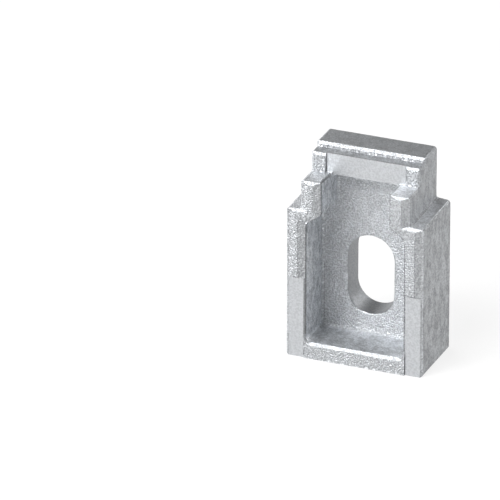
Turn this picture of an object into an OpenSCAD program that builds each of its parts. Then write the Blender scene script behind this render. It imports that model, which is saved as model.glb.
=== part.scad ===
// Profile end cap: one die casting that closes the end of a slotted profile.
// Units are millimetres, +Z is up. The origin is on the bottom face, under the middle of the width and of the depth.
// The flat textured face looks to -Y and the open side with the pocket looks to +Y.

/* [Overall size] */
// Width of the body across the side faces
body_w = 20; // [16:0.1:24]
// Height from the bottom face to the top of the bar
total_h = 30; // [27:0.1:34]
// Depth from the flat front face to the open rim
depth = 10.3; // [9.6:0.1:12]

/* [Shoulders and tab] */
// Width of the narrow tab and of the neck behind it
tab_w = 15.9; // [14:0.1:17]
// Height of the shoulders where they meet the tab
shoulder_h = 22.5; // [21.2:0.1:24]
// Fall of the shoulders toward the side faces, in degrees
shoulder_side_fall = 5; // [0:0.5:10]
// Fall of the shoulders toward the open side, in degrees
shoulder_back_fall = 1.8; // [0:0.2:3]
// Radius of the hollow where a shoulder meets the tab
shoulder_fillet = 0.4; // [0.2:0.05:0.6]

/* [Steps of the head] */
// Depth of the full height bar behind the front face
bar_depth = 4.45; // [4.2:0.05:5]
// Radius of the top rear edge of the bar
bar_round = 0.65; // [0.3:0.05:0.7]
// Drop from the top of the bar to the ledge
ledge_drop = 0.78; // [0.7:0.02:1.2]
// Depth from the front face to the rear of the ledge
ledge_depth = 6.4; // [6:0.1:7]
// Drop from the top of the bar to the top of the neck
neck_drop = 3.55; // [3.2:0.05:3.8]

/* [Rear pocket] */
// Thickness of the front plate under the pocket
plate_t = 4; // [3:0.1:4.5]
// Width of the pocket in the body
pocket_w = 14.2; // [13:0.1:15]
// Width of the pocket between the neck walls
neck_pocket_w = 9.8; // [9:0.1:10.5]
// Thickness of the bottom wall
bottom_wall = 2.4; // [1.8:0.1:3]
// Height of the corner where the pocket starts to narrow
narrow_from = 19.95; // [18.6:0.05:20.4]
// Radius of the two bends of the narrowing side
narrow_round = 0.8; // [0.7:0.05:1]
// Height of the pocket's roof under the ledge
pocket_top = 26.2; // [25.6:0.05:26.3]
// Radius of the pocket's bottom and roof corners
pocket_corner = 0.8; // [0.65:0.05:1.2]
// Radius of the hollow around the floor of the pocket
floor_fillet = 0.5; // [0.2:0.05:0.6]

/* [Screw slot] */
// Width of the slot at the front face
slot_w = 6.8; // [5.4:0.1:7.2]
// Length of the slot at the front face, end to end
slot_l = 11.7; // [9:0.1:12.4]
// Height of the middle of the slot
slot_z = 11.05; // [10:0.05:12]
// Radius of the slot's edge at the floor of the pocket
slot_edge_round = 0.25; // [0.1:0.05:0.4]

/* [Seating pads] */
// Height of the two lower pads
pad_h = 11.8; // [9:0.1:14]
// Depth of the lower pads below the cast rim
pad_cut = 0.25; // [0.1:0.05:0.4]
// Width of the cast lip left between a lower pad and the pocket
pad_lip = 0.3; // [0.25:0.05:0.6]
// Width of the upper pad on the ledge
top_pad_w = 11.5; // [10.6:0.1:12]
// Depth of the upper pad below the end posts
top_pad_cut = 0.45; // [0.4:0.05:0.6]
// Radius of the inner edges of the end posts
post_round = 0.3; // [0.1:0.05:0.35]
// Radius of the cast rim's edge above a lower pad
pad_step_round = 0.15; // [0.05:0.05:0.2]

/* [Edges] */
// Width of the shallow slopes beside the crest of the upright rim
rim_slope_w = 1.2; // [0.4:0.1:1.3]
// Radius between a rim slope and an outer side
rim_corner_round = 0.25; // [0.1:0.05:0.4]
// Radius of the other edges around the open side
edge_round = 0.6; // [0.3:0.05:0.65]
// Radius of the edges that run from front to back
side_edge_round = 0.45; // [0.2:0.05:0.6]

/* [Hidden] */
$fn = 40;
slot_fn = 80;
margin = 1;
overlap = 0.3;
half_w = body_w / 2;
half_tab = tab_w / 2;
half_pocket = pocket_w / 2;
half_neck = neck_pocket_w / 2;
// The pocket narrows on a slope that rises 3 for every 4 inward
narrow_to = narrow_from + (half_pocket - half_neck) * 3 / 4;
// The rim slopes fall 7 for every 24 across
rim_slope_d = rim_slope_w * 7 / 24;
front_y = -depth / 2;
reach = body_w + total_h;
ledge_h = total_h - ledge_drop;
neck_h = total_h - neck_drop;
shoulder_edge_h = shoulder_h - (half_w - half_tab) * tan(shoulder_side_fall);
slot_run = slot_l - slot_w;
slot_r = slot_w / 2;
pad_inner = half_pocket + pad_lip;
top_pad_y = ledge_depth - top_pad_cut;

// Half of the pocket's outline, walked from the roof to the bottom wall with the wall on the left
pocket_path = [[0, pocket_top], [half_neck, pocket_top], [half_neck, narrow_to], [half_pocket, narrow_from],
               [half_pocket, bottom_wall], [0, bottom_wall]];
pocket_bends = [0, pocket_corner, narrow_round, narrow_round, pocket_corner, 0];

// The same walk at the open rim, where the neck has no roof
rim_path = [[half_neck, neck_h + margin], [half_neck, narrow_to], [half_pocket, narrow_from],
            [half_pocket, bottom_wall], [0, bottom_wall]];
rim_bends = [0, narrow_round, narrow_round, pocket_corner, 0];

// Node to show, or all of them

// Corner helpers: the sliver between a sharp corner p and its rounding, with neighbours a and b
function unit(v) = v / norm(v);
function half_angle(a, p, b) = acos(unit(a - p) * unit(b - p)) / 2;
function round_centre(a, p, b, r) = p + unit(unit(a - p) + unit(b - p)) * r / sin(half_angle(a, p, b));
function tangent_at(a, p, b, r) = p + unit(a - p) * r / tan(half_angle(a, p, b));

module corner_sliver(a, p, b, r) {
    c = round_centre(a, p, b, r);
    difference() {
        polygon([p + unit(p - c) * overlap, tangent_at(a, p, b, r), c, tangent_at(b, p, a, r)]);
        translate(c) circle(r);
    }
}

// Extrusions of an outline along each axis, from one position to another
module along_x(from, to) {
    translate([from, 0, 0]) rotate([90, 0, 90]) linear_extrude(to - from) children();
}

module along_y(from, to) {
    translate([0, to, 0]) rotate([90, 0, 0]) linear_extrude(to - from) children();
}

// Sweeps an outline along a path with rounded bends. The outline's x is the distance to the left of the path.
function turn(points, i) = cross(points[i] - points[i - 1], points[i + 1] - points[i]);
function leave(points, bends, i) =
    i == 0 ? points[0] : tangent_at(points[i + 1], points[i], points[i - 1], bends[i]);
function arrive(points, bends, i) =
    i == len(points) - 1 ? points[i] : tangent_at(points[i - 1], points[i], points[i + 1], bends[i]);

module sweep_run(from, to) {
    way = to - from;
    translate(from) rotate(atan2(way.y, way.x)) along_x(0, norm(way)) children();
}

module sweep_bend(points, i, r) {
    c = round_centre(points[i - 1], points[i], points[i + 1], r);
    left = turn(points, i) > 0;
    first = tangent_at(points[i - 1], points[i], points[i + 1], r) - c;
    last = tangent_at(points[i + 1], points[i], points[i - 1], r) - c;
    start = left ? first : last;
    stop = left ? last : first;
    sweep = (atan2(stop.y, stop.x) - atan2(start.y, start.x) + 360) % 360;
    translate(c) rotate(atan2(start.y, start.x)) rotate_extrude(angle = sweep)
        translate([r, 0]) mirror([left ? 1 : 0, 0]) children();
}

module sweep_along(points, bends) {
    for (i = [0:len(points) - 2])
        sweep_run(leave(points, bends, i), arrive(points, bends, i + 1)) children();
    for (i = [1:len(points) - 2])
        sweep_bend(points, i, bends[i]) children();
}

// Stands what lies in the XY plane up in the XZ plane at a given depth, its top side toward the front
module on_face(y) {
    translate([0, y, 0]) rotate([90, 0, 0]) children();
}

module both_sides() {
    children();
    mirror([1, 0, 0]) children();
}

// A rectangle that stands on its lower edge, with its two upper corners rounded
module arched_rectangle(w, h, r) {
    difference() {
        translate([-w / 2, 0]) square([w, h]);
        for (side = [-1, 1]) corner_sliver([side * w / 2, 0], [side * w / 2, h], [0, h], r);
    }
}

// A rectangle seen from above, whose rear corners fall in shallow slopes before they turn
module sloped_rectangle(w) {
    difference() {
        polygon([[-w / 2, 0], [w / 2, 0], [w / 2, depth - rim_slope_d], [w / 2 - rim_slope_w, depth],
                 [rim_slope_w - w / 2, depth], [-w / 2, depth - rim_slope_d]]);
        for (side = [-1, 1])
            corner_sliver([side * w / 2, 0], [side * w / 2, depth - rim_slope_d],
                          [side * (w / 2 - rim_slope_w), depth], rim_corner_round);
    }
}

// A block with a sharp front face and the given outline from above, its other upper edges rounded
module stepped_block(w, h, d, r_rear) {
    intersection() {
        along_y(0, d) arched_rectangle(w, h, side_edge_round);
        along_x(-half_w, half_w) difference() {
            square([d, h]);
            corner_sliver([d, 0], [d, h], [0, h], r_rear);
        }
        linear_extrude(h) children();
    }
}

// Outline of the body up to the shoulders, with the hollow beside the tab
module shoulder_outline() {
    low = -margin * 2;
    difference() {
        polygon([[-half_w, low], [half_w, low], [half_w, shoulder_edge_h], [half_tab, shoulder_h],
                 [-half_tab, shoulder_h], [-half_w, shoulder_edge_h]]);
        for (side = [-1, 1])
            corner_sliver([side * half_w, low], [side * half_w, shoulder_edge_h], [side * half_tab, shoulder_h],
                          side_edge_round);
    }
}

// The hollow fillet between a shoulder and the tab's side, kept clear of the rounded rear edge
module shoulder_hollow() {
    along_y(0, depth - edge_round)
        corner_sliver([half_w, shoulder_edge_h], [half_tab, shoulder_h], [half_tab, total_h], shoulder_fillet);
}

// Tilts what it holds about the front edge of the shoulders, so the rear sinks
module fall_to_rear() {
    translate([0, 0, shoulder_h]) rotate([-shoulder_back_fall, 0, 0]) translate([0, 0, -shoulder_h]) children();
}

// Cutter that rounds the rear edge of one shoulder, along the shoulder's own slope
module shoulder_rear_round() {
    drop = depth * tan(shoulder_back_fall);
    translate([half_tab, 0, shoulder_h]) rotate([0, shoulder_side_fall, 0])
        along_x(-margin, half_w - half_tab + margin)
            corner_sliver([0, 0], [depth, -drop], [depth, -drop - margin * 2], edge_round);
}

module body_block() {
    difference() {
        intersection() {
            fall_to_rear() {
                along_y(-margin, depth + margin) shoulder_outline();
                both_sides() shoulder_hollow();
            }
            linear_extrude(total_h) sloped_rectangle(body_w);
            along_y(0, depth) translate([0, total_h]) mirror([0, 1]) arched_rectangle(body_w, total_h, side_edge_round);
        }
        both_sides() shoulder_rear_round();
    }
}

// The neck, the ledge and the bar step up toward the front face
module head() {
    stepped_block(tab_w, neck_h, depth, edge_round) sloped_rectangle(tab_w);
    stepped_block(tab_w, ledge_h, ledge_depth, edge_round) arched_rectangle(tab_w, ledge_depth, edge_round);
    stepped_block(tab_w, total_h, bar_depth, bar_round) arched_rectangle(tab_w, bar_depth, edge_round);
}

// Outline of one half of the pocket, seen from the open side
module pocket_half() {
    inner = [for (i = [1:len(pocket_path) - 2]) i];
    difference() {
        polygon(pocket_path);
        for (i = inner)
            if (turn(pocket_path, i) < 0)
                corner_sliver(pocket_path[i - 1], pocket_path[i], pocket_path[i + 1], pocket_bends[i]);
    }
    for (i = inner)
        if (turn(pocket_path, i) > 0)
            corner_sliver(pocket_path[i - 1], pocket_path[i], pocket_path[i + 1], pocket_bends[i]);
}

// What the slopes take from both sides of an upright opening, and its mouth
module upright_slopes(half_opening, from) {
    translate([0, 0, from]) linear_extrude(total_h)
        polygon([[-half_opening, depth - rim_slope_d], [half_opening, depth - rim_slope_d],
                 [half_opening + rim_slope_w * 2, depth + rim_slope_d],
                 [-half_opening - rim_slope_w * 2, depth + rim_slope_d]]);
}

// All that lies on the pocket's side of the slope along one narrowing side
module narrowing_slope() {
    way = unit([half_pocket - half_neck, narrow_from - narrow_to]);
    on_face(depth) sweep_run([half_neck, narrow_to] - way * reach, [half_pocket, narrow_from] + way * reach)
        polygon([[-reach, rim_slope_d], [0, rim_slope_d], [rim_slope_w * 2, -rim_slope_d], [-reach, -rim_slope_d]]);
}

// The slopes around the mouth of the pocket, above its bottom corners
module mouth_slopes() {
    intersection() {
        upright_slopes(half_pocket, bottom_wall + pocket_corner);
        narrowing_slope();
        mirror([1, 0, 0]) narrowing_slope();
    }
    upright_slopes(half_neck, narrow_from);
}

// The hollow at the back, open at the rim and between the neck walls, with its rounded rim
module pocket() {
    mouth_slopes();
    along_y(plate_t, depth + margin) both_sides() pocket_half();
    translate([-half_neck, top_pad_y, narrow_to + narrow_round])
        cube([neck_pocket_w, depth, total_h]);
    both_sides() {
        on_face(depth) sweep_along(rim_path, rim_bends) corner_sliver([0, 1], [0, 0], [1, 0], edge_round);
        along_y(ledge_depth, depth + margin)
            corner_sliver([half_neck, 0], [half_neck, neck_h], [half_tab, neck_h], side_edge_round);
    }
}

// Concave fillet between the pocket's walls and its floor
module pocket_floor_fillet() {
    both_sides() on_face(plate_t) sweep_along(pocket_path, pocket_bends)
        corner_sliver([0, -1], [0, 0], [-1, 0], floor_fillet);
}

// Slot with round ends through the plate, its inner edge rounded
module screw_slot() {
    on_face(plate_t + margin) linear_extrude(plate_t + 2 * margin) {
        for (end = [-1, 1]) translate([0, slot_z + end * slot_run / 2]) circle(slot_r, $fn = slot_fn);
        translate([-slot_r, slot_z - slot_run / 2]) square([slot_w, slot_run]);
    }
    for (end = [-1, 1])
        on_face(plate_t) translate([0, slot_z + end * slot_run / 2]) rotate_extrude($fn = slot_fn)
            corner_sliver([slot_r, 1], [slot_r, 0], [slot_r + 1, 0], slot_edge_round);
    both_sides() on_face(plate_t)
        sweep_run([slot_r, slot_z + slot_run / 2], [slot_r, slot_z - slot_run / 2])
            corner_sliver([0, 1], [0, 0], [1, 0], slot_edge_round);
}

// Machined faces that bear on the profile: two beside the pocket's foot and one on the ledge
module pad_cuts() {
    both_sides() {
        translate([pad_inner, depth - pad_cut, -margin]) cube([half_w, depth, pad_h + margin]);
        along_x(pad_inner, half_w + margin)
            corner_sliver([0, pad_h], [depth, pad_h], [depth, total_h], pad_step_round);
        translate([0, 0, neck_h]) linear_extrude(total_h)
            corner_sliver([top_pad_w / 2, 0], [top_pad_w / 2, ledge_depth], [half_w, ledge_depth], post_round);
    }
    translate([-top_pad_w / 2, top_pad_y, neck_h])
        cube([top_pad_w, depth, total_h]);
}

module end_cap() {
    color([0.72, 0.73, 0.74])
    translate([0, front_y, 0]) difference() {
        union() {
            body_block();
            head();
        }
        difference() {
            pocket();
            pocket_floor_fillet();
        }
        screw_slot();
        pad_cuts();
    }
}

end_cap();
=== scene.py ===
"""Looks of the profile end cap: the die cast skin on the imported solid, and the studio around it."""

import logging
import math
from dataclasses import dataclass
from enum import Enum

import bmesh
import bpy
import numpy as np
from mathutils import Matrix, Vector


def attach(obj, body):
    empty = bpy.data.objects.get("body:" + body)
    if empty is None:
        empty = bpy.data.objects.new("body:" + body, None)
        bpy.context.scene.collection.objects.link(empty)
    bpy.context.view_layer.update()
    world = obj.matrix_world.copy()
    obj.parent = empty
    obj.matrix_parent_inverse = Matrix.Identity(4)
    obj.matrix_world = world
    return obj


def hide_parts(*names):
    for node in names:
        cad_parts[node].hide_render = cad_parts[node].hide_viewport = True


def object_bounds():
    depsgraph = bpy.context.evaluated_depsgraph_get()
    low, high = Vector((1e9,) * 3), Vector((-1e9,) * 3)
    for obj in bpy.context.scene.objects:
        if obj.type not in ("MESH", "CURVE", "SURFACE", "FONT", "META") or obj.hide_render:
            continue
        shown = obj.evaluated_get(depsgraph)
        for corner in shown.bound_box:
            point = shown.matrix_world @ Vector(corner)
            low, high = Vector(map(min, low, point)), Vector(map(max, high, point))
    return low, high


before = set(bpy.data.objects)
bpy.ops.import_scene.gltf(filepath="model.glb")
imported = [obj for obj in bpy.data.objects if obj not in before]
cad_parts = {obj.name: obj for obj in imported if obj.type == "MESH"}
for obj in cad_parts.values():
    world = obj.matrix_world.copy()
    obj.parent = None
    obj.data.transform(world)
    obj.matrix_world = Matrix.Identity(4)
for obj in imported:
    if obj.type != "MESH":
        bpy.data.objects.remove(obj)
CAD_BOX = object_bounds()

MM = 0.001
IMAGE_PX = 500

# The parts of a texture's range that are spread from 0 to 1
NOISE_RANGE = (0.3, 0.7)
PATCH_RANGE = (0.36, 0.66)
CELL_RANGE = (0.15, 0.75)

# The middle of the finest grain's height, which runs from 0 to 1
MID_HEIGHT = 0.5

# The patches are twice as tall as they are wide
PATCH_STRETCH = (1.0, 1.0, 0.5)

# What a skin writes to the points of the mesh, and what it writes to the faces
POINT_VALUES = ("bumps", "grain", "waves")
FACE_VALUES = ("pits", "grain_shade", "tone", "gloss", "patches")

log = logging.getLogger("end_cap")


class Axis(Enum):
    """The three axes of the frame, by their place in a vector."""

    X = 0
    Y = 1
    Z = 2


class Zone(Enum):
    """The kinds of skin on the casting, by the faces that have them."""

    FRONT = "eroded front face"
    RIM = "open rim and rear rounds"
    SLOPE = "smoother slopes of the rim, which look to -X"
    BROW = "rounds that look back and up"
    EDGE = "rounds that look back and sideways"
    HOLLOW = "rounds that look up and sideways"
    PAD = "machined pads"
    FLOOR = "floor of the pocket"
    WALL = "walls of the pocket"
    TOP = "top of the head"
    LEDGE = "tops of the shoulders and of the posts"
    SILL = "top of the bottom wall"
    SIDE = "outer sides and bottom"
    SLOT = "wall of the screw slot"


@dataclass(frozen=True)
class Skin:
    """How one zone of the casting looks. Heights are in millimetres.

    Attributes:
        bumps: height of the coarse eroded bumps.
        grain: height of the cast grain.
        waves: height of the long soft waves.
        pits: height of the finest grain, which is shaded and not pressed in.
        grain_shade: painted shade in the finest pits of the grain and painted light on its finest peaks,
            from 0 to 1.
        tone: factor on the metal's colour. Besides the zone's own tone it holds painted light and shade,
            set zone by zone for how the light falls on faces that look each way.
        gloss: what is taken off the roughness.
        patches: strength of the darker patches, from 0 to 1.
    """

    bumps: float
    grain: float
    waves: float
    pits: float
    grain_shade: float
    tone: float
    gloss: float
    patches: float


# The tone of each zone is partly painted light and shade: the rounds that look back and up (BROW) carry a
# painted highlight; the slopes that look to -X, the hollows, the outer sides and the slot's wall are
# painted darker as shade; the pocket's walls, the sill and the ledges are painted lighter for light that
# reaches them little.
SKINS: dict[Zone, Skin] = {
    Zone.FRONT: Skin(bumps=0.090, grain=0.025, waves=0.010, pits=0.070,
                     grain_shade=0.20, tone=1.40, gloss=0.00, patches=0.05),
    Zone.RIM: Skin(bumps=0.110, grain=0.035, waves=0.020, pits=0.120,
                   grain_shade=0.40, tone=1.08, gloss=0.00, patches=0.15),
    Zone.SLOPE: Skin(bumps=0.050, grain=0.025, waves=0.020, pits=0.065,
                     grain_shade=0.30, tone=0.89, gloss=0.00, patches=0.30),
    Zone.BROW: Skin(bumps=0.050, grain=0.030, waves=0.020, pits=0.105,
                    grain_shade=0.28, tone=1.68, gloss=-0.08, patches=0.10),
    Zone.EDGE: Skin(bumps=0.045, grain=0.025, waves=0.020, pits=0.085,
                    grain_shade=0.34, tone=1.15, gloss=0.00, patches=0.20),
    Zone.HOLLOW: Skin(bumps=0.015, grain=0.020, waves=0.010, pits=0.085,
                      grain_shade=0.34, tone=0.80, gloss=0.00, patches=0.20),
    Zone.PAD: Skin(bumps=0.000, grain=0.000, waves=0.000, pits=0.015,
                   grain_shade=0.15, tone=1.06, gloss=0.05, patches=0.05),
    Zone.FLOOR: Skin(bumps=0.060, grain=0.035, waves=0.020, pits=0.120,
                     grain_shade=0.36, tone=1.16, gloss=0.00, patches=0.25),
    Zone.WALL: Skin(bumps=0.020, grain=0.020, waves=0.030, pits=0.035,
                    grain_shade=0.38, tone=1.74, gloss=0.00, patches=0.80),
    Zone.TOP: Skin(bumps=0.005, grain=0.008, waves=0.010, pits=0.022,
                   grain_shade=0.26, tone=1.03, gloss=0.00, patches=0.40),
    Zone.LEDGE: Skin(bumps=0.010, grain=0.010, waves=0.010, pits=0.028,
                     grain_shade=0.30, tone=1.50, gloss=0.00, patches=0.50),
    Zone.SILL: Skin(bumps=0.010, grain=0.015, waves=0.020, pits=0.045,
                    grain_shade=0.25, tone=1.40, gloss=0.00, patches=0.80),
    Zone.SIDE: Skin(bumps=0.010, grain=0.012, waves=0.025, pits=0.018,
                    grain_shade=0.28, tone=0.83, gloss=0.00, patches=0.75),
    Zone.SLOT: Skin(bumps=0.000, grain=0.004, waves=0.010, pits=0.004,
                    grain_shade=0.10, tone=0.65, gloss=-0.08, patches=0.15),
}


@dataclass(frozen=True)
class CapSizes:
    """Sizes of the solid that tell the zones apart, in millimetres, with depth from the front face.

    Attributes:
        depth: depth of the whole cap.
        plate: thickness of the front plate.
        half_pocket: half the width of the pocket.
        slot_r: radius of the slot's ends.
        slot_end: height of an end's centre above the slot's middle.
        slot_z: height of the slot's middle.
        pad_cut: depth of the lower pads below the rim.
        pad_inner: distance of the lower pads from the middle.
        pad_top: height of the lower pads.
        top_pad_depth: depth of the upper pad.
        top_pad_half: half the width of the upper pad.
        bottom_wall: thickness of the bottom wall.
        pocket_top: height of the pocket's roof.
        side_from: distance from the middle past which an upright face is an outer side.
        upright_from: distance from the middle past which the mouth's line is drawn.
        near: how far off a level a face may lie and still be on it.
        band: width of the strip beside a level, where its rounds and slopes are.
    """

    depth: float
    plate: float = 4.0
    half_pocket: float = 7.1
    slot_r: float = 3.4
    slot_end: float = 2.45
    slot_z: float = 11.05
    pad_cut: float = 0.25
    pad_inner: float = 7.4
    pad_top: float = 11.8
    top_pad_depth: float = 5.95
    top_pad_half: float = 5.75
    bottom_wall: float = 2.4
    pocket_top: float = 26.2
    side_from: float = 5.0
    upright_from: float = 4.0
    near: float = 0.02
    band: float = 1.0


@dataclass(frozen=True)
class Slants:
    """Limits on one part of a face's normal, which sort the faces by the way they look.

    Attributes:
        flat: looks straight one way.
        full: looks one way.
        most: looks mostly one way.
        half: looks about halfway to a side.
        part: leans one way.
        under: leans down, below the upper pad.
        some: leans one way a little.
        slope_low: how much the steepest slope of the rim looks back.
        slope_high: how much the shallowest slope of the rim looks back.
        slope_across: how much a slope of the rim looks sideways.
    """

    flat: float = 0.99
    full: float = 0.9
    most: float = 0.7
    half: float = 0.5
    part: float = 0.3
    under: float = 0.2
    some: float = 0.1
    slope_low: float = 0.95
    slope_high: float = 0.97
    slope_across: float = 0.25


@dataclass(frozen=True)
class CastMetal:
    """The bare cast alloy. Sizes are in millimetres.

    Attributes:
        colour: the metal's own colour, which each zone's factor of tone and painted light and shade is a
            factor on.
        metallic: 1, because it is bare metal.
        roughness: roughness of a zone without gloss.
        patch_size: width of the darker patches.
        patch_tone: factor on the colour inside a full patch.
        grain_size: width of the finest grain.
        grain_roughness: how much rougher the finest pits are than the finest peaks.
        mouth_shade: how much painted shade darkens the line along the pocket's mouth.
        crest_shade: how much painted shade darkens the lines along the crest and the pads.
        lip_highlight: how much a painted highlight brightens the lip under the upper pad.
    """

    colour: tuple[float, float, float] = (0.518, 0.531, 0.548)
    metallic: float = 1.0
    roughness: float = 0.5
    patch_size: float = 0.8
    patch_tone: float = 0.6
    grain_size: float = 0.24
    grain_roughness: float = 0.15
    mouth_shade: float = 0.55
    crest_shade: float = 0.3
    lip_highlight: float = 0.35


class Nodes:
    """Short ways to fill one node tree, for shaders and for geometry."""

    def __init__(self, tree: bpy.types.NodeTree) -> None:
        """Keeps the tree that is filled."""
        self.tree = tree

    def add(self, kind: str, settings: dict[str, object] | None = None,
            **inputs: object) -> bpy.types.Node:
        """Adds a node, sets its properties and fills its inputs.

        Args:
            kind: the node's type.
            settings: properties of the node, by name.
            inputs: a value or a socket for each input, by its name with spaces as underscores.

        Returns:
            The new node.
        """
        node = self.tree.nodes.new(kind)
        for name, value in (settings or {}).items():
            setattr(node, name, value)
        for name, value in inputs.items():
            self.fill(node.inputs[name.replace("_", " ")], value)
        return node

    def fill(self, socket: bpy.types.NodeSocket, value: object) -> None:
        """Links a socket to an input, or sets the input's value.

        Args:
            socket: the input to fill.
            value: a socket to link, or a plain value.
        """
        if isinstance(value, bpy.types.NodeSocket):
            self.tree.links.new(value, socket)
        else:
            socket.default_value = value

    def math(self, operation: str, *values: object) -> bpy.types.NodeSocket:
        """Adds a math node.

        Args:
            operation: the node's operation.
            values: its inputs, in order.

        Returns:
            The node's output.
        """
        node = self.add("ShaderNodeMath", {"operation": operation})
        for socket, value in zip(node.inputs, values):
            self.fill(socket, value)
        return node.outputs[0]

    def vector(self, operation: str, *values: object, scale: object = None) -> bpy.types.NodeSocket:
        """Adds a vector math node.

        Args:
            operation: the node's operation.
            values: its vector inputs, in order.
            scale: the factor of a SCALE.

        Returns:
            The node's vector output.
        """
        node = self.add("ShaderNodeVectorMath", {"operation": operation})
        for socket, value in zip(node.inputs, values):
            self.fill(socket, value)
        if scale is not None:
            self.fill(node.inputs["Scale"], scale)
        return node.outputs[0]

    def ramp(self, value: object, low: float, high: float,
             to_low: float = 0.0, to_high: float = 1.0) -> bpy.types.NodeSocket:
        """Turns a value's range into another one, with smooth ends.

        Args:
            value: the value, a socket or a number.
            low: the value that gives to_low.
            high: the value that gives to_high.
            to_low: the first result.
            to_high: the last result.

        Returns:
            The result's socket.
        """
        node = self.add("ShaderNodeMapRange", {"interpolation_type": "SMOOTHSTEP"})
        for name, number in (("Value", value), ("From Min", low), ("From Max", high),
                             ("To Min", to_low), ("To Max", to_high)):
            self.fill(node.inputs[name], number)
        return node.outputs[0]


def new_group(name: str, kind: str, inputs: dict[str, tuple[str, float | None]], outputs: dict[str, str]
              ) -> tuple[bpy.types.NodeTree, Nodes, bpy.types.Node, bpy.types.Node]:
    """Makes an empty node group with its sockets.

    Args:
        name: the group's name.
        kind: the tree's type.
        inputs: the type of each input and its default or None, by name.
        outputs: the type of each output, by name.

    Returns:
        The group, the helper that fills it, its input node and its output node.
    """
    group = bpy.data.node_groups.new(name, kind)
    for label, (socket_type, default) in inputs.items():
        socket = group.interface.new_socket(label, in_out="INPUT", socket_type=socket_type)
        if default is not None:
            socket.default_value = default
    for label, socket_type in outputs.items():
        group.interface.new_socket(label, in_out="OUTPUT", socket_type=socket_type)
    nodes = Nodes(group)
    return group, nodes, nodes.add("NodeGroupInput"), nodes.add("NodeGroupOutput")


def cast_grain_group() -> bpy.types.NodeTree:
    """Builds the fine cast grain, as a height between 0 and 1.

    Returns:
        The shader group.
    """
    group, nodes, given, result = new_group(
        "Cast grain", "ShaderNodeTree",
        {"Vector": ("NodeSocketVector", None), "Size": ("NodeSocketFloat", 0.0002)},
        {"Height": "NodeSocketFloat"})
    scale = nodes.math("DIVIDE", 1.0, given.outputs["Size"])
    pits = nodes.add("ShaderNodeTexNoise", Vector=given.outputs["Vector"], Scale=scale,
                     Detail=1.0, Roughness=0.5)
    nodes.fill(result.inputs["Height"], nodes.ramp(pits.outputs["Fac"], *NOISE_RANGE))
    return group


def patch_group() -> bpy.types.NodeTree:
    """Builds the darker patches of a cast skin, as a mask that is 1 in a patch.

    Returns:
        The shader group.
    """
    group, nodes, given, result = new_group(
        "Cast patches", "ShaderNodeTree",
        {"Vector": ("NodeSocketVector", None), "Size": ("NodeSocketFloat", 0.001)},
        {"Mask": "NodeSocketFloat"})
    scale = nodes.math("DIVIDE", 1.0, given.outputs["Size"])
    upright = nodes.vector("MULTIPLY", given.outputs["Vector"], PATCH_STRETCH)
    clouds = nodes.add("ShaderNodeTexNoise", Vector=upright, Scale=scale, Detail=4.0, Roughness=0.55)
    nodes.fill(result.inputs["Mask"], nodes.ramp(clouds.outputs["Fac"], *PATCH_RANGE))
    return group


def relief_group() -> bpy.types.NodeTree:
    """Builds the tree that presses the cast relief into a mesh, inward along its normals.

    Returns:
        The geometry group.
    """
    sizes = {"Bump size": 0.42, "Grain size": 0.3, "Wave size": 1.6}
    group, nodes, given, result = new_group(
        "Cast relief", "GeometryNodeTree",
        {"Geometry": ("NodeSocketGeometry", None), "Material": ("NodeSocketMaterial", None),
         **{name: ("NodeSocketFloat", size) for name, size in sizes.items()},
         "Seed": ("NodeSocketFloat", 7.0)},
        {"Geometry": "NodeSocketGeometry"})
    place = nodes.vector("SCALE", nodes.add("GeometryNodeInputPosition").outputs[0], scale=1 / MM)
    seed = given.outputs["Seed"]

    def height(attribute: str) -> bpy.types.NodeSocket:
        """Reads one height of the skin, in millimetres."""
        named = nodes.add("GeometryNodeInputNamedAttribute", {"data_type": "FLOAT"}, Name=attribute)
        return named.outputs["Attribute"]

    def scale_of(name: str) -> bpy.types.NodeSocket:
        """Gives the number of features in a millimetre, from the input that holds their size."""
        return nodes.math("DIVIDE", 1.0, given.outputs[name])

    cells = nodes.add("ShaderNodeTexVoronoi", {"feature": "SMOOTH_F1", "voronoi_dimensions": "4D"},
                      Vector=place, W=seed, Scale=scale_of("Bump size"), Smoothness=0.6)
    bumps = nodes.ramp(cells.outputs["Distance"], *CELL_RANGE)
    grains = nodes.add("ShaderNodeTexNoise", {"noise_dimensions": "4D"},
                       Vector=place, W=seed, Scale=scale_of("Grain size"), Detail=3.0, Roughness=0.6)
    grain = nodes.ramp(grains.outputs["Fac"], *NOISE_RANGE)
    clouds = nodes.add("ShaderNodeTexNoise", {"noise_dimensions": "4D"},
                       Vector=place, W=seed, Scale=scale_of("Wave size"), Detail=1.0)
    waves = nodes.ramp(clouds.outputs["Fac"], *NOISE_RANGE)
    total = nodes.math("ADD", nodes.math("MULTIPLY", bumps, height("bumps")),
                       nodes.math("ADD", nodes.math("MULTIPLY", grain, height("grain")),
                                  nodes.math("MULTIPLY", waves, height("waves"))))
    normal = nodes.add("GeometryNodeInputNormal").outputs[0]
    offset = nodes.vector("SCALE", normal, scale=nodes.math("MULTIPLY", total, -MM))
    moved = nodes.add("GeometryNodeSetPosition", Geometry=given.outputs["Geometry"], Offset=offset)
    real = nodes.add("GeometryNodeRealizeInstances", Geometry=moved.outputs["Geometry"])
    dressed = nodes.add("GeometryNodeSetMaterial", Geometry=real.outputs["Geometry"],
                        Material=given.outputs["Material"])
    nodes.fill(result.inputs["Geometry"], dressed.outputs["Geometry"])
    return group


def write_values(mesh: bpy.types.Mesh, name: str, domain: str, values: np.ndarray) -> None:
    """Writes an attribute with one number for each element of a mesh, on the domain POINT or FACE."""
    attribute = mesh.attributes.new(name, "FLOAT", domain)
    attribute.data.foreach_set("value", values.astype(np.float32))


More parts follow.
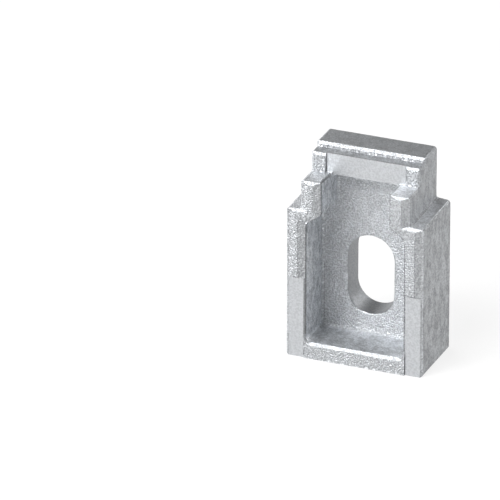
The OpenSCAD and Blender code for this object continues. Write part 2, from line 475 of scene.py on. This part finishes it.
@dataclass
class EndCap:
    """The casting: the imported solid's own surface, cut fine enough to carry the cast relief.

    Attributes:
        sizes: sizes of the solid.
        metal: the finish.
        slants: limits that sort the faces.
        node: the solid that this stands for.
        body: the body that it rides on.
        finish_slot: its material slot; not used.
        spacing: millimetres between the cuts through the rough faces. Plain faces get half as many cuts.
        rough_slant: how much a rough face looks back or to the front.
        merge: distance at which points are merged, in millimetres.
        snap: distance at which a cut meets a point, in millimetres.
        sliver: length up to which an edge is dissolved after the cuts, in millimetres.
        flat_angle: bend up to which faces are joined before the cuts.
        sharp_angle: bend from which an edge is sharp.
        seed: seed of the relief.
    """

    sizes: CapSizes
    metal: CastMetal
    slants: Slants = Slants()
    node: str = "end_cap"
    body: str = "root"
    finish_slot: str = "casting"
    spacing: float = 0.15
    quick_factor: float = 2.0
    rough_slant: float = 0.2
    merge: float = 0.001
    snap: float = 0.012
    sliver: float = 0.003
    flat_angle: float = math.radians(0.5)
    sharp_angle: float = math.radians(32)
    seed: float = 7.0

    def build(self) -> bpy.types.Object:
        """Makes the piece and hangs it on the frame.

        Returns:
            The finished object.
        """
        mesh = self.fine_mesh()
        self.mark_skins(mesh)
        piece = self.press_relief(mesh)
        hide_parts(self.node)
        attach(piece, self.body)
        return piece

    def fine_mesh(self) -> bpy.types.Mesh:
        """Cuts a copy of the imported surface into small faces, in millimetres while it is cut.

        Returns:
            A closed mesh with its sharp edges marked.
        """
        shell = bmesh.new()
        shell.from_mesh(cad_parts[self.node].data)
        bmesh.ops.scale(shell, vec=Vector((1, 1, 1)) / MM, verts=shell.verts)
        bmesh.ops.remove_doubles(shell, verts=shell.verts, dist=self.merge)
        bmesh.ops.dissolve_limit(shell, angle_limit=self.flat_angle, verts=shell.verts, edges=shell.edges)
        spacing = self.spacing * 1
        for axis in Axis:
            places = [vert.co[axis.value] for vert in shell.verts]
            count = math.ceil((max(places) - min(places)) / spacing)
            planes = list(np.linspace(min(places), max(places), count + 1)[1:-1])
            rough = [face for face in shell.faces if abs(face.normal.y) > self.rough_slant]
            plain = [face for face in shell.faces if abs(face.normal.y) <= self.rough_slant]
            self.slice_faces(shell, rough, axis, planes)
            self.slice_faces(shell, plain, axis, planes[::2])
        bmesh.ops.triangulate(shell, faces=shell.faces)
        bmesh.ops.dissolve_degenerate(shell, edges=shell.edges, dist=self.sliver)
        bmesh.ops.triangulate(shell, faces=shell.faces)
        for edge in shell.edges:
            edge.smooth = edge.calc_face_angle(0.0) < self.sharp_angle
        for face in shell.faces:
            face.smooth = True
        bmesh.ops.scale(shell, vec=Vector((1, 1, 1)) * MM, verts=shell.verts)
        mesh = bpy.data.meshes.new("end_cap_fine")
        shell.to_mesh(mesh)
        shell.free()
        mesh.attributes.remove(mesh.attributes["custom_normal"])
        return mesh

    def slice_faces(self, shell: bmesh.types.BMesh, faces: list[bmesh.types.BMFace], axis: Axis,
                    planes: list[float]) -> None:
        """Cuts faces by planes across one axis, halving the faces each time.

        Args:
            shell: the mesh.
            faces: the faces that may cross the planes.
            axis: the axis that the planes stand across.
            planes: their places on that axis, in rising order.
        """
        if not planes or not faces:
            return
        middle = len(planes) // 2
        place = planes[middle]
        low, high, crossing = [], [], []
        for face in faces:
            reach = [vert.co[axis.value] for vert in face.verts]
            if max(reach) <= place + self.snap:
                low.append(face)
            elif min(reach) >= place - self.snap:
                high.append(face)
            else:
                crossing.append(face)
        if crossing:
            edges = dict.fromkeys(edge for face in crossing for edge in face.edges)
            verts = dict.fromkeys(vert for face in crossing for vert in face.verts)
            point, normal = Vector(), Vector()
            point[axis.value], normal[axis.value] = place, 1.0
            cut = bmesh.ops.bisect_plane(shell, geom=[*verts, *edges, *crossing], dist=self.snap,
                                         plane_co=point, plane_no=normal)
            for part in cut["geom"]:
                if isinstance(part, bmesh.types.BMFace):
                    (high if part.calc_center_median()[axis.value] > place else low).append(part)
        self.slice_faces(shell, low, axis, planes[:middle])
        self.slice_faces(shell, high, axis, planes[middle + 1:])

    def zones_of(self, centres: np.ndarray, normals: np.ndarray) -> dict[Zone, np.ndarray]:
        """Sorts faces into the zones of the skin.

        Args:
            centres: the middle of each face, in millimetres, with the depth from the front face as y.
            normals: the normal of each face.

        Returns:
            A mask over the faces for each zone. The masks don't overlap.
        """
        sizes, slant = self.sizes, self.slants
        near, band = sizes.near, sizes.band
        x, y, z = np.abs(centres[:, 0]), centres[:, 1], centres[:, 2]
        side, rear, up = normals[:, 0], normals[:, 1], normals[:, 2]
        across = np.abs(side)
        lower_pad = ((rear > slant.flat) & (np.abs(y - sizes.depth + sizes.pad_cut) < near)
                     & (z < sizes.pad_top) & (x > sizes.pad_inner))
        upper_pad = ((rear > slant.flat) & (np.abs(y - sizes.top_pad_depth) < near)
                     & (x < sizes.top_pad_half))
        slot_reach = np.maximum(np.abs(z - sizes.slot_z) - sizes.slot_end, 0)
        slot = (np.hypot(x, slot_reach) < sizes.slot_r + near) & (y < sizes.plate)
        inside = ((x < sizes.half_pocket + near) & (y > sizes.plate - near)
                  & (z < sizes.pocket_top + near) & (z > sizes.bottom_wall - near))
        slope = (rear > slant.slope_low) & (rear < slant.slope_high) & (side < -slant.slope_across)
        # A face goes to the first zone of this list that it fits
        order = [
            (Zone.PAD, lower_pad | upper_pad),
            (Zone.SLOT, slot & (np.abs(rear) < slant.full)),
            (Zone.FRONT, (rear < -slant.full) & (y < near)),
            (Zone.FLOOR, inside & (rear > slant.some) & (up < slant.full) & (y < sizes.plate + band)),
            (Zone.SILL, inside & (up > slant.most) & (z < sizes.bottom_wall + band)),
            (Zone.WALL, inside & (rear < slant.part) & (up < slant.most)),
            (Zone.TOP, (up > slant.full) & (z > sizes.pocket_top + band)),
            (Zone.LEDGE, up > slant.full),
            (Zone.HOLLOW, (across > slant.part) & (up > slant.part)),
            (Zone.SIDE, (np.abs(rear) < slant.part) & (x > sizes.side_from)),
            (Zone.SIDE, up < -slant.most),
            (Zone.SLOPE, slope),
            (Zone.EDGE, (across > slant.part) & (rear > 0)),
            (Zone.BROW, (up > slant.part) & (rear > 0)),
            (Zone.RIM, np.ones(len(x), bool)),
        ]
        left = np.ones(len(x), bool)
        found = {zone: np.zeros(len(x), bool) for zone in Zone}
        for zone, mask in order:
            found[zone] |= mask & left
            left &= ~mask
        return found

    def mark_skins(self, mesh: bpy.types.Mesh) -> None:
        """Writes each zone's skin to the mesh: heights on the points, looks on the faces, among them
        painted light and shade.

        Args:
            mesh: the fine mesh, which is changed.
        """
        count = len(mesh.polygons)
        centres, normals = np.empty(count * 3), np.empty(count * 3)
        mesh.polygons.foreach_get("center", centres)
        mesh.polygons.foreach_get("normal", normals)
        centres = centres.reshape(-1, 3) / MM + (0, self.sizes.depth / 2, 0)
        normals = normals.reshape(-1, 3)
        zones = self.zones_of(centres, normals)
        corners = np.empty(len(mesh.loops), int)
        mesh.loops.foreach_get("vertex_index", corners)
        corner_face = np.repeat(np.arange(count), 3)
        for name in POINT_VALUES:
            heights = sum(mask * getattr(SKINS[zone], name) for zone, mask in zones.items())
            points = np.full(len(mesh.vertices), np.inf)
            np.minimum.at(points, corners, heights[corner_face])
            points[~np.isfinite(points)] = 0
            write_values(mesh, name, "POINT", points)
        for name in FACE_VALUES:
            looks = sum(mask * getattr(SKINS[zone], name) for zone, mask in zones.items())
            write_values(mesh, name, "FACE", looks)
        write_values(mesh, "edge_shade_and_highlight", "POINT", self.edge_shade_and_highlight(centres, normals, corners, zones))
        for zone, mask in zones.items():
            log.info("zone %s: %d faces", zone.name, int(mask.sum()))

    def edge_shade_and_highlight(self, centres: np.ndarray, normals: np.ndarray, corners: np.ndarray,
             zones: dict[Zone, np.ndarray]) -> np.ndarray:
        """Paints dark lines of shade along the mouth, the pads and the crest, where rounds and steps turn
        into shade, and a painted highlight on the upper pad's lip.

        Args:
            centres: the middle of each face, in millimetres.
            normals: the normal of each face.
            corners: the point of each corner, three to a face.
            zones: the mask of each zone.

        Returns:
            How much painted shade darkens each point, from 0 to 1, and below 0 where the painted
            highlight brightens it.
        """
        sizes, slant = self.sizes, self.slants
        x, y, z = centres[:, 0], centres[:, 1], centres[:, 2]
        side, rear, up = normals[:, 0], normals[:, 1], normals[:, 2]
        across = np.abs(side)
        foot = sizes.bottom_wall + sizes.band
        inward = -x * side + (sizes.slot_z - z) * up > 0
        upright = (np.abs(x) > sizes.upright_from) & (z > foot) & (z < sizes.pocket_top)
        at_rim = y > sizes.depth - sizes.band
        looks_back = rear > slant.full

        def touched(mask: np.ndarray) -> np.ndarray:
            """Marks the points of the faces in a mask."""
            return np.bincount(corners, np.repeat(mask, 3)) > 0

        mouth = touched(inward & upright & at_rim & (rear > slant.some) & (rear < slant.slope_low))
        slanted = looks_back & (across > slant.slope_across)
        strip = touched(inward & upright & slanted & (z < sizes.pad_top))
        crest = touched(zones[Zone.RIM] & looks_back) & touched(zones[Zone.SLOPE])
        pad_edge = touched((across > slant.half) | (zones[Zone.RIM] & (z < foot)))
        beside_pad = touched(zones[Zone.PAD]) & pad_edge
        lip = touched(zones[Zone.PAD] & (z > sizes.pad_top)) & touched(up < -slant.under)
        # Painted shade: darker lines where rounds and steps fall into shade; the lip gets a painted
        # highlight instead
        fine_shade_line = (strip | crest | beside_pad) * self.metal.crest_shade
        dark = np.maximum(mouth * self.metal.mouth_shade, fine_shade_line)
        return np.where(lip, -self.metal.lip_highlight, dark)

    def press_relief(self, mesh: bpy.types.Mesh) -> bpy.types.Object:
        """Runs the relief over the mesh and keeps the result as a plain mesh.

        Args:
            mesh: the fine mesh with its skins.

        Returns:
            The object that holds the result.
        """
        piece = bpy.data.objects.new("end_cap_casting", mesh)
        bpy.context.scene.collection.objects.link(piece)
        tree = relief_group()
        relief = piece.modifiers.new("relief", "NODES")
        relief.node_group = tree
        values = {"Material": self.material(), "Seed": self.seed}
        for item in tree.interface.items_tree:
            if item.item_type == "SOCKET" and item.in_out == "INPUT" and item.name in values:
                relief[item.identifier] = values[item.name]
        graph = bpy.context.evaluated_depsgraph_get()
        finished = bpy.data.meshes.new_from_object(piece.evaluated_get(graph), depsgraph=graph)
        piece.modifiers.remove(relief)
        piece.data = finished
        finished.name = "end_cap_casting"
        return piece

    def material(self) -> bpy.types.Material:
        """Makes the cast metal, which reads the looks of its skin from the mesh, painted light and shade
        among them.

        Returns:
            The material.
        """
        metal = self.metal
        material = bpy.data.materials.new("cast_metal")
        material.use_nodes = True
        material.node_tree.nodes.clear()
        nodes = Nodes(material.node_tree)
        place = nodes.add("ShaderNodeTexCoord").outputs["Object"]

        def skin(name: str) -> bpy.types.NodeSocket:
            """Reads one value of the skin from the mesh."""
            return nodes.add("ShaderNodeAttribute", {"attribute_name": name}).outputs["Fac"]

        patches = nodes.add("ShaderNodeGroup", {"node_tree": patch_group()}, Vector=place,
                            Size=metal.patch_size * MM)
        grain = nodes.add("ShaderNodeGroup", {"node_tree": cast_grain_group()}, Vector=place,
                          Size=metal.grain_size * MM)
        height = grain.outputs["Height"]
        dark = nodes.math("MULTIPLY", nodes.math("MULTIPLY", patches.outputs["Mask"], skin("patches")),
                          1 - metal.patch_tone)
        above = nodes.math("SUBTRACT", height, MID_HEIGHT)
        # Painted shade in the pits of the finest grain and painted light on its peaks
        grain_shade = nodes.math("MULTIPLY_ADD", above, skin("grain_shade"), 1.0)
        # The darker patches, and the painted shade and highlight of the lines along the edges
        after_patches_and_edge_shade = nodes.math("MULTIPLY", nodes.math("SUBTRACT", 1.0, dark),
                           nodes.math("SUBTRACT", 1.0, skin("edge_shade_and_highlight")))
        # The zone's tone with its painted light and shade, times the painted shade of the grain, the
        # patches and the painted lines
        tone = nodes.math("MULTIPLY", nodes.math("MULTIPLY", skin("tone"), grain_shade), after_patches_and_edge_shade)
        colour = nodes.vector("SCALE", metal.colour, scale=tone)
        rough = nodes.math("MULTIPLY_ADD", above, -metal.grain_roughness,
                           nodes.math("SUBTRACT", metal.roughness, skin("gloss")))
        bump = nodes.add("ShaderNodeBump", Height=nodes.math("MULTIPLY", height, skin("pits")),
                         Distance=MM, Strength=1.0)
        shader = nodes.add("ShaderNodeBsdfPrincipled", Base_Color=colour, Roughness=rough,
                           Metallic=metal.metallic, Normal=bump.outputs["Normal"])
        nodes.add("ShaderNodeOutputMaterial", Surface=shader.outputs["BSDF"])
        return material


def direction_of(azimuth: float, elevation: float) -> Vector:
    """Gives the direction to a viewer by two angles in degrees. Azimuth 0 is -Y and 90 is +X."""
    turn, tilt = math.radians(azimuth), math.radians(elevation)
    return Vector((math.sin(turn) * math.cos(tilt), -math.cos(turn) * math.cos(tilt), math.sin(tilt)))


@dataclass(frozen=True)
class Lamp:
    """A square softbox. It stands off the middle of the object and looks at it.

    Attributes:
        name: what it is for.
        turn: how far round from the camera it stands, in degrees, to the right as seen from the camera.
        height: its height above the horizon, in degrees.
        power: in watts.
        distance: how far off it stands, in metres.
        size: its width and height, in metres.
    """

    name: str
    turn: float
    height: float
    power: float
    distance: float = 0.6
    size: float = 0.3


LAMPS = (
    Lamp("key", turn=-45, height=55, power=3.4),
    Lamp("low_left", turn=-60, height=8, power=1.3),
    Lamp("fill_left", turn=-60, height=30, power=0.55),
    Lamp("side_left", turn=-120, height=8, power=1.7),
    Lamp("rear_left", turn=-150, height=30, power=0.75),
    Lamp("rear_right", turn=120, height=30, power=1.3),
)


@dataclass
class Studio:
    """Pale floor, plain surroundings and softboxes.

    Attributes:
        middle: the middle of the object, which the lamps look at.
        camera_azimuth: where the camera stands, in degrees.
        floor_size: width of the floor, in metres.
        floor_colour: grey of the floor, which takes the shadow.
        floor_glow: what the floor adds for the rays that show the background.
        horizon: grey of the surroundings at the horizon.
        zenith: grey of the surroundings overhead.
        fade_to: height of the direction at which the surroundings reach the overhead grey.
        lamps: the softboxes.
    """

    middle: Vector
    camera_azimuth: float
    floor_size: float = 8.0
    floor_colour: float = 0.2
    floor_glow: float = 0.8
    horizon: float = 0.6
    zenith: float = 0.1
    fade_to: float = 0.45
    lamps: tuple[Lamp, ...] = LAMPS

    def build(self) -> None:
        """Sets up the colour handling, the floor, the surroundings and the lamps."""
        bpy.context.scene.view_settings.view_transform = "Standard"
        self.floor()
        self.surroundings()
        for lamp in self.lamps:
            self.hang(lamp)
            log.info("lamp %s: %.2f W", lamp.name, lamp.power)

    def floor(self) -> None:
        """Lays the floor as one square."""
        half = self.floor_size / 2
        corners = [(-half, -half, 0), (half, -half, 0), (half, half, 0), (-half, half, 0)]
        mesh = bpy.data.meshes.new("floor")
        mesh.from_pydata(corners, [], [(0, 1, 2, 3)])
        floor = bpy.data.objects.new("floor", mesh)
        bpy.context.scene.collection.objects.link(floor)
        mesh.materials.append(self.floor_material())

    def floor_material(self) -> bpy.types.Material:
        """Makes the floor white to the camera and in reflections, clear from below, with its shadow kept.

        Returns:
            The material.
        """
        material = bpy.data.materials.new("white_floor")
        material.use_nodes = True
        material.node_tree.nodes.clear()
        nodes = Nodes(material.node_tree)
        glow = nodes.math("MULTIPLY", self.seen(nodes), self.floor_glow)
        matt = nodes.add("ShaderNodeBsdfDiffuse", Color=(self.floor_colour,) * 3 + (1,))
        light = nodes.add("ShaderNodeEmission", Strength=glow)
        both = nodes.add("ShaderNodeAddShader")
        nodes.fill(both.inputs[0], matt.outputs[0])
        nodes.fill(both.inputs[1], light.outputs[0])
        below = nodes.add("ShaderNodeNewGeometry").outputs["Backfacing"]
        clear = nodes.add("ShaderNodeBsdfTransparent")
        mix = nodes.add("ShaderNodeMixShader", Fac=below)
        nodes.fill(mix.inputs[1], both.outputs[0])
        nodes.fill(mix.inputs[2], clear.outputs[0])
        nodes.add("ShaderNodeOutputMaterial", Surface=mix.outputs[0])
        return material

    def seen(self, nodes: Nodes) -> bpy.types.NodeSocket:
        """Gives 1 for rays that show the background: from the camera, off metal and through glass.

        Args:
            nodes: the tree to add to.

        Returns:
            The mask's socket.
        """
        path = nodes.add("ShaderNodeLightPath").outputs
        either = nodes.math("MAXIMUM", path["Is Camera Ray"], path["Is Glossy Ray"])
        return nodes.math("MAXIMUM", either, path["Is Transmission Ray"])

    def surroundings(self) -> None:
        """Fills the world with a grey that darkens upward."""
        world = bpy.data.worlds.new("studio")
        bpy.context.scene.world = world
        world.use_nodes = True
        world.node_tree.nodes.clear()
        nodes = Nodes(world.node_tree)
        direction = nodes.add("ShaderNodeTexCoord").outputs["Generated"]
        height = nodes.add("ShaderNodeSeparateXYZ", Vector=direction).outputs["Z"]
        level = nodes.ramp(height, 0.0, self.fade_to, self.horizon, self.zenith)
        light = nodes.add("ShaderNodeBackground", Strength=level)
        nodes.add("ShaderNodeOutputWorld", Surface=light.outputs[0])

    def hang(self, lamp: Lamp) -> None:
        """Makes one softbox.

        Args:
            lamp: its place, size and power.
        """
        data = bpy.data.lights.new(lamp.name, "AREA")
        data.size = lamp.size
        data.energy = lamp.power
        softbox = bpy.data.objects.new(lamp.name, data)
        toward = direction_of(self.camera_azimuth + lamp.turn, lamp.height)
        softbox.location = self.middle + toward * lamp.distance
        softbox.rotation_mode = "QUATERNION"
        softbox.rotation_quaternion = (-toward).to_track_quat("-Z", "Y")
        bpy.context.scene.collection.objects.link(softbox)


@dataclass
class ProductCamera:
    """The long lens, placed by the point of the object that it shows at a given place in the image.

    Attributes:
        target: the point of the object.
        azimuth: where the camera stands, in degrees.
        elevation: its height above the horizon, in degrees.
        distance: its distance from the target, in metres.
        focal_px: the focal length, in pixels of the image.
        target_px: where the target lies in the image, from its upper left corner.
        sensor_mm: width of the sensor.
        clip_m: the nearest and the farthest distance that it shows.
    """

    target: Vector
    azimuth: float = 202.344
    elevation: float = 24.99
    distance: float = 1.1403
    focal_px: float = 8386.5
    target_px: tuple[float, float] = (367.85, 252.21)
    sensor_mm: float = 36.0
    clip_m: tuple[float, float] = (0.05, 50.0)

    def build(self) -> None:
        """Makes the camera and gives it to the scene."""
        data = bpy.data.cameras.new("camera")
        data.sensor_width = self.sensor_mm
        data.lens = self.sensor_mm * self.focal_px / IMAGE_PX
        data.clip_start, data.clip_end = self.clip_m
        camera = bpy.data.objects.new("camera", data)
        back = direction_of(self.azimuth, self.elevation)
        camera.rotation_mode = "QUATERNION"
        camera.rotation_quaternion = (-back).to_track_quat("-Z", "Y")
        off_x, off_y = ((px - IMAGE_PX / 2) / self.focal_px * self.distance for px in self.target_px)
        right = camera.rotation_quaternion @ Vector((1, 0, 0))
        down = camera.rotation_quaternion @ Vector((0, -1, 0))
        camera.location = self.target - right * off_x - down * off_y + back * self.distance
        bpy.context.scene.collection.objects.link(camera)
        bpy.context.scene.camera = camera


def main() -> None:
    """Builds the casting, the camera and the studio, and reports each."""
    logging.basicConfig(level=logging.INFO, format="%(name)s: %(message)s")
    low, high = CAD_BOX
    middle = (low + high) / 2
    cap = EndCap(CapSizes(depth=(high.y - low.y) / MM), CastMetal())
    piece = cap.build()
    log.info("piece %s: %d faces", piece.name, len(piece.data.polygons))
    camera = ProductCamera(middle)
    camera.build()
    log.info("camera: %.1f degrees round, %.1f degrees up", camera.azimuth, camera.elevation)
    Studio(middle, camera.azimuth).build()


if __name__ == "__main__":
    main()
